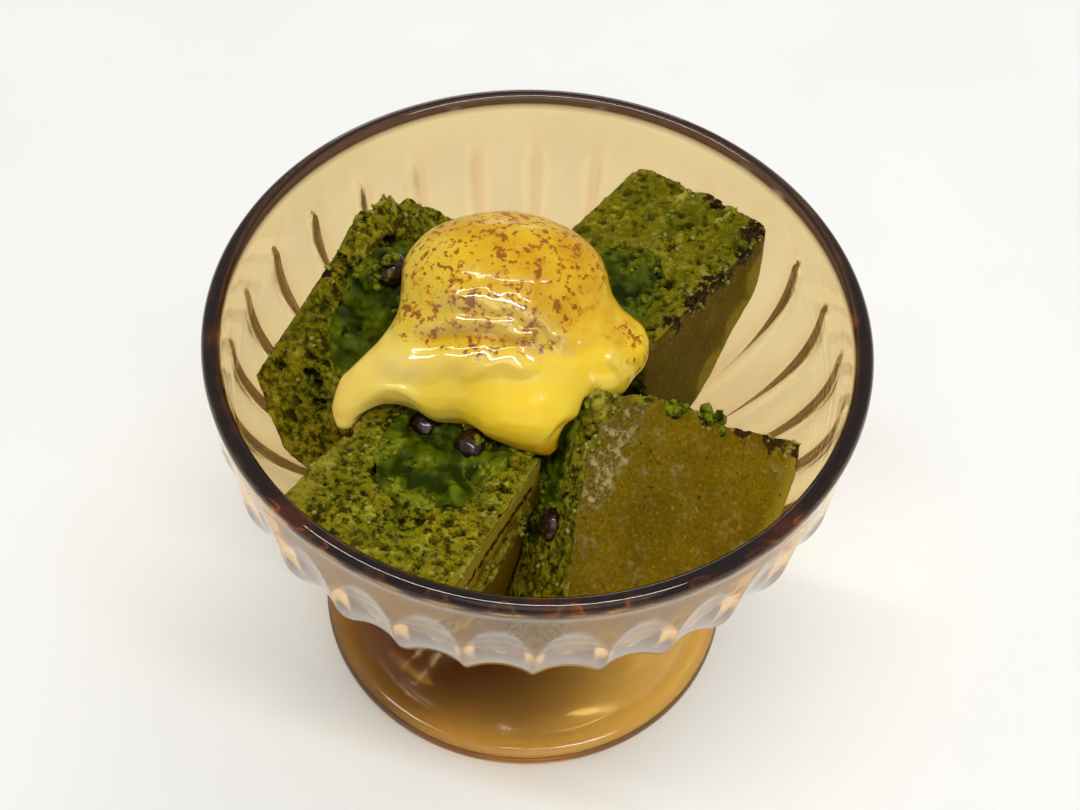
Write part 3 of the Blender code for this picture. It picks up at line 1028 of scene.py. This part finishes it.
def scatter(name, places, sizes, rng):
    """One piece of many crumbs, each a turned and stretched copy of one of three shapes."""
    shapes = [crumb_shape(seed) for seed in range(3)]
    points, faces, count = [], [], 0
    for number, (place, size) in enumerate(zip(places, sizes)):
        shape, sides = shapes[number % len(shapes)]
        turn = np.array(Matrix.Rotation(rng.uniform(0, math.tau), 3, rng.normal(size=3)))
        stretch = rng.uniform(0.65, 1.2, 3)
        points.append((shape * stretch) @ turn.T * size + place)
        faces.append(sides + count)
        count += len(shape)
    mesh = bpy.data.meshes.new(name)
    mesh.from_pydata(np.concatenate(points).tolist(), [], np.concatenate(faces).tolist())
    mesh.update()
    obj = object_of(name, mesh)
    shade_smooth(obj)
    return obj


def kept_values(obj, *names):
    return [read_numbers(obj.data.attributes[name].data, "value", 1)[:, 0] for name in names]


def pick_places(obj, chance, count, smallest, largest, rng):
    """Places on a piece's upward faces, more where the chance is higher, and their sizes."""
    sizes = rng.uniform(smallest, largest, count)
    points, normals = points_of(obj), normals_of(obj)
    chance = chance * (normals[:, 2] > 0.05)
    chosen = rng.choice(len(points), count, p=chance / chance.sum())
    return points[chosen] + normals[chosen] * sizes[:, None] * 0.35, sizes


class DESSERT_OT_crumbs(Operator):
    """Scatter loose crumbs on the cakes and loose bits of paste on the fillings"""

    bl_idname = "dessert.crumbs"
    bl_label = "Loose crumbs"
    bl_options = UNDO

    def execute(self, context):
        look = context.scene.dessert_crumbs
        rng = np.random.default_rng(look.crumbs + look.lumps)
        low, high = look.smallest, look.largest
        cake, paste = [], []
        for name in QUARTERS:
            obj = bpy.data.objects["quarter_" + name]
            rind, crumb, scorch, torn = kept_values(obj, "rind", "crumb", "scorch", "torn")
            chance = 0.25 * crumb + rind * crumb + 2 * scorch + 2 * torn
            cake.append(pick_places(obj, chance, look.crumbs, low, 0.7 * high, rng))
            obj = bpy.data.objects["paste_" + name]
            chance = kept_values(obj, "crumbly")[0] + 0.03
            paste.append(pick_places(obj, chance, look.lumps, low, high, rng))
        for quarter, start, end, spread, count in RAGGED_EDGES:
            share = rng.uniform(0, 1, count)[:, None]
            local = np.array(start) * (1 - share) + np.array(end) * share
            local = local + rng.normal(size=(count, 3)) * spread
            world = moved_by(quarter_matrix(quarter), local * MM)
            paste.append((world, rng.uniform(0.5, 1.15, count) * MM))
        for label, found, material, slot in (
            ("loose_crumbs", cake, "green_tea_sponge", "green_tea_sponge"),
            ("loose_paste", paste, "bean_paste", "bean_paste_filling"),
        ):
            places, sizes = (np.concatenate(rows) for rows in zip(*found))
            obj = scatter(label, places, sizes, rng)
            # relief 0.5 gives the loose crumbs the painted light of raised crumb in the sponge
            # material.
            store(obj, crumb=1, crumbly=1, relief=0.5)
            finish_piece(obj, bpy.data.materials[material], slot)
        return {"FINISHED"}


# ---- custard


def beside_path(points, path):
    """How far each point lies in front of a path in the plan view, and how far along it."""
    beside, along = np.full(len(points), 1e9), np.zeros(len(points))
    for number, (start, end) in enumerate(zip(path, path[1:])):
        start, way = np.array(start), np.array(end) - np.array(start)
        share = np.clip(((points - start) @ way) / (way @ way), 0, 1)
        off = points - start - share[:, None] * way
        distance = np.linalg.norm(off, axis=1)
        side = np.where(way[1] * off[:, 0] - way[0] * off[:, 1] >= 0, distance, -distance)
        closer = distance < np.abs(beside)
        beside = np.where(closer, side, beside)
        along = np.where(closer, (number + share) / (len(path) - 1), along)
    return beside, along


def raise_fold(obj, path, rise, behind, front):
    """Raises a fold of the poured custard: a ledge that rolls over its crest and drops."""
    points, normals = points_of(obj) / MM, normals_of(obj)
    beside, along = beside_path(points[:, :2], path)
    beside = beside + 0.3 * waves(points, 5, 51)
    fold = ease(-behind, 0, beside) * ease(front, 0, beside)
    fold *= ease(0, 0.2, along) * ease(1, 0.8, along)
    fold *= ease(0, 0.3, normals[:, 2]) * ease(78, 80, points[:, 2])
    group = weigh(obj, "fold", fold, 60)
    apply_modifier(
        obj, "DISPLACE", direction="Z", strength=rise * MM, mid_level=0, vertex_group=group
    )
    obj.vertex_groups.clear()


def read_custard(obj):
    """Where the custard is torched, golden, pale or wet enough to glint, and where shade is
    painted under a fold and at its low edge.
    """
    points = points_of(obj) / MM
    x, y, z = points.T
    facing_up = ease(-0.25, 0.2, normals_of(obj)[:, 2])
    uneven = waves(points, 9, 41) + 0.5 * waves(points, 3.5, 42)
    dome = ease(83.6, 86.8, z + 0.42 * y + 0.5 * uneven)
    right = ease(10.5, 5, x - 0.55 * y + 0.9 * uneven)
    lobe = ease(5, 2, np.hypot(x - 15.5, y + 4.5) + 0.6 * uneven)
    # A gold band just in front of the second fold's crest: partly toasted colour, partly painted
    # shade under the crease.
    beside, along = beside_path(points[:, :2], FOLDS[1][0])
    crease_gold_and_shade = ease(1, 0.3, np.abs(beside - 1.1 + 0.15 * uneven))
    crease_gold_and_shade = crease_gold_and_shade * ease(0.02, 0.2, along) * ease(1, 0.85, along) * (z > 82)
    gold = dome * ease(-16, 2, x + 1.2 * y + 2.5 * uneven) + 0.8 * crease_gold_and_shade + 0.2 * lobe
    wet = np.zeros(len(x))
    for path, _, behind, front in FOLDS:
        beside, along = beside_path(points[:, :2], path)
        near = ease(-behind, -0.4, beside) * ease(front + 0.4, 0.4, beside)
        wet = np.maximum(wet, near * ease(0, 0.1, along) * ease(1, 0.9, along))
    return {
        "torched": np.clip(dome * (0.25 + 0.75 * right) + 0.5 * lobe, 0, 1) * facing_up,
        "gold": np.clip(gold, 0, 1) * facing_up,
        # painted shade: the low edge of the custard, by the cake, turns a deeper gold
        "hem_shade": ease(80.5, 76, z + 0.3 * uneven) * ease(-16, -8, x),
        "pale": np.maximum(ease(-9, -24, x + 2 * uneven), 0.18 * dome),
        "wet": np.maximum(0.1 + 0.9 * wet, 0.12 * dome),
    }


class DESSERT_OT_custard(Operator):
    """Build the poured custard with its folds and torched top"""

    bl_idname = "dessert.custard"
    bl_label = "Torched custard"
    bl_options = UNDO

    def execute(self, context):
        look = context.scene.dessert_custard
        obj = refined_copy("custard", "torched_custard", look.grain, 22)
        draw_out(obj, DRAWN_UP)
        soften(obj, 8)
        for fold in FOLDS:
            raise_fold(obj, *fold)
        soften(obj, 1)
        masks = read_custard(obj)
        lively = weigh(obj, "lively", masks["torched"])
        relief(obj, 3.4 * MM, 0.32 * MM, 1, lively)
        store(obj, **masks)
        finish_piece(obj, custard_material(look), "custard_cream", "custard")
        return {"FINISHED"}


def custard_material(look):
    material, g = new_material(
        "custard_cream", look.cream, Specular_IOR_Level=0.14, Subsurface_Weight=0.35,
        Subsurface_Scale=0.003, Subsurface_Radius=(1, 0.6, 0.12), Coat_IOR=2.1,
        Coat_Roughness=0.07,
    )
    torched, gold, hem_shade, pale, wet = g.reading("torched", "gold", "hem_shade", "pale", "wet")
    cloud = g.grain(150, 4, 0.55)
    # deep is how far the colour turns gold: toasting, with the painted shade of the crease band
    # and of the low edge.
    deep = g.plus(g.times(gold, 0.62), g.times(torched, 0.16))
    deep = g.times(deep, g.span(cloud, 0.32, 0.6, 0.45, 1))
    deep = g.most(deep, g.times(hem_shade, 0.8))
    cloudy = g.span(g.grain(60), 0.4, 0.7, 0, 0.2)
    colour = g.layers(look.cream, (look.pale, pale), (look.pale, cloudy), (look.gold, deep))
    colour = g.blend(g.times(torched, 0.8), colour, (0.83, 0.8, 0.28), "MULTIPLY")
    small = g.place("Ragged flecks", Scale=800, Amount=0.46)
    large = g.place("Ragged flecks", Scale=460, Amount=0.22)
    reached = g.span(torched, 0.2, 0.6)
    halo = g.times(g.most(small["Halo"], large["Halo"]), reached)
    speck = g.times(g.most(small["Mask"], large["Mask"]), reached)
    colour = g.layers(colour, (look.toast, halo, 0.9), (look.speck, speck, 0.92))
    skin = g.times(g.grain(420, 4, 0.6), torched)
    height = g.plus(skin, g.grain(230, 2, 0.5), g.times(speck, -0.4))
    g.drive(
        Base_Color=colour, Coat_Weight=wet, Normal=g.bump(height, 0.55, 0.0004),
        Roughness=g.plus(g.span(torched, 0, 1, 0.16, 0.22), g.times(speck, 0.2)),
    )
    return material


# ---- stage

# name: (place, target, size, power, colour). The key leaves no outline in the wet custard;
# the narrow lights give it glints.
LIGHTS = {
    "key": ((0.55, 0.4, 0.9), (0, 0, 0.06), (0.6, 0.5), 2.6, (1, 1, 1)),
    "top": ((-0.05, -0.2, 1.08), (0, 0, 0.08), (1.3, 0.06), 7.2, (1, 1, 1)),
    "back": ((-0.1, 1.2, 0.35), (0, 0, 0.09), (0.7, 0.12), 1.2, (1, 1, 1)),
    "fill": ((0.15, -0.75, 0.85), (0, -0.15, 0), (0.9, 0.7), 1.7, (1, 0.95, 0.88)),
}
WORLD_STRENGTH = 0.41
CAMERA_PLACE = (0, -0.20711, 0.33622)
# Turns of the camera about z, then x, then z again, in degrees.
CAMERA_TURNS = ((-0.264, "Z"), (90 - 52.938, "X"), (3.578, "Z"))


def add_area_light(name, place, target, size, power, colour):
    light = bpy.data.lights.new(name, "AREA")
    light.shape = "RECTANGLE"
    light.size, light.size_y = size
    light.energy = power
    light.color = colour
    obj = object_of(name, light)
    obj.location = place
    obj.rotation_euler = (Vector(target) - Vector(place)).to_track_quat("-Z", "Y").to_euler()
    obj.visible_glossy = name != "key"


class DESSERT_OT_stage(Operator):
    """Set the table top, soft lights and camera"""

    bl_idname = "dessert.stage"
    bl_label = "Table, lights and camera"
    bl_options = UNDO

    def execute(self, context):
        look = context.scene.dessert_stage
        bpy.ops.mesh.primitive_plane_add(size=6)
        table = context.object
        table.name = "table_top"
        material, g = new_material("table_top", look.table, Roughness=0.45)
        shaded = tuple(0.97 * v for v in look.table)
        cloud = g.span(g.grain(14, 3, 0.5), 0.3, 0.7)
        g.drive(Base_Color=g.blend(cloud, look.table, shaded))
        table.data.materials.append(material)

        for name, light in LIGHTS.items():
            add_area_light(name, *light)
        world = bpy.data.worlds.new("studio")
        world.use_nodes = True
        background = world.node_tree.nodes["Background"].inputs
        background["Color"].default_value = (1, 1, 1, 1)
        background["Strength"].default_value = WORLD_STRENGTH
        context.scene.world = world
        context.scene.view_settings.view_transform = "Standard"

        lens = bpy.data.cameras.new("view")
        lens.lens = look.lens
        lens.sensor_fit = "HORIZONTAL"
        lens.clip_start = 0.01
        camera = context.scene.camera = object_of("view", lens)
        place = Matrix.Translation(CAMERA_PLACE)
        for degrees, axis in CAMERA_TURNS:
            place = place @ Matrix.Rotation(math.radians(degrees), 4, axis)
        camera.matrix_world = place
        return {"FINISHED"}


class DESSERT_PT_panel(Panel):
    """Lists the pieces of the dessert"""

    bl_idname = "DESSERT_PT_panel"
    bl_label = "Imagawayaki dessert"
    bl_space_type = "VIEW_3D"
    bl_region_type = "UI"
    bl_category = "Dessert"

    def draw(self, context):
        for operator in OPERATORS:
            self.layout.operator(operator.bl_idname)
        for name, cls in SETTINGS.items():
            box = self.layout.box()
            for key in cls.__annotations__:
                box.prop(getattr(context.scene, name), key)


SETTINGS = {
    "dessert_bowl": BowlSettings,
    "dessert_cake": CakeSettings,
    "dessert_paste": PasteSettings,
    "dessert_bean": BeanSettings,
    "dessert_crumbs": CrumbSettings,
    "dessert_custard": CustardSettings,
    "dessert_stage": StageSettings,
}
OPERATORS = (
    DESSERT_OT_bowl, DESSERT_OT_cakes, DESSERT_OT_paste, DESSERT_OT_beans, DESSERT_OT_crumbs,
    DESSERT_OT_custard, DESSERT_OT_stage,
)


def register():
    for cls in (*SETTINGS.values(), *OPERATORS, DESSERT_PT_panel):
        bpy.utils.register_class(cls)
    for name, cls in SETTINGS.items():
        setattr(bpy.types.Scene, name, bpy.props.PointerProperty(type=cls))


def unregister():
    for name in SETTINGS:
        delattr(bpy.types.Scene, name)
    for cls in reversed((*SETTINGS.values(), *OPERATORS, DESSERT_PT_panel)):
        bpy.utils.unregister_class(cls)


def main():
    register()
    bpy.ops.dessert.bowl()
    bpy.ops.dessert.cakes()
    bpy.ops.dessert.paste()
    bpy.ops.dessert.beans()
    bpy.ops.dessert.crumbs()
    bpy.ops.dessert.custard()
    bpy.ops.dessert.stage()


if __name__ == "__main__":
    main()
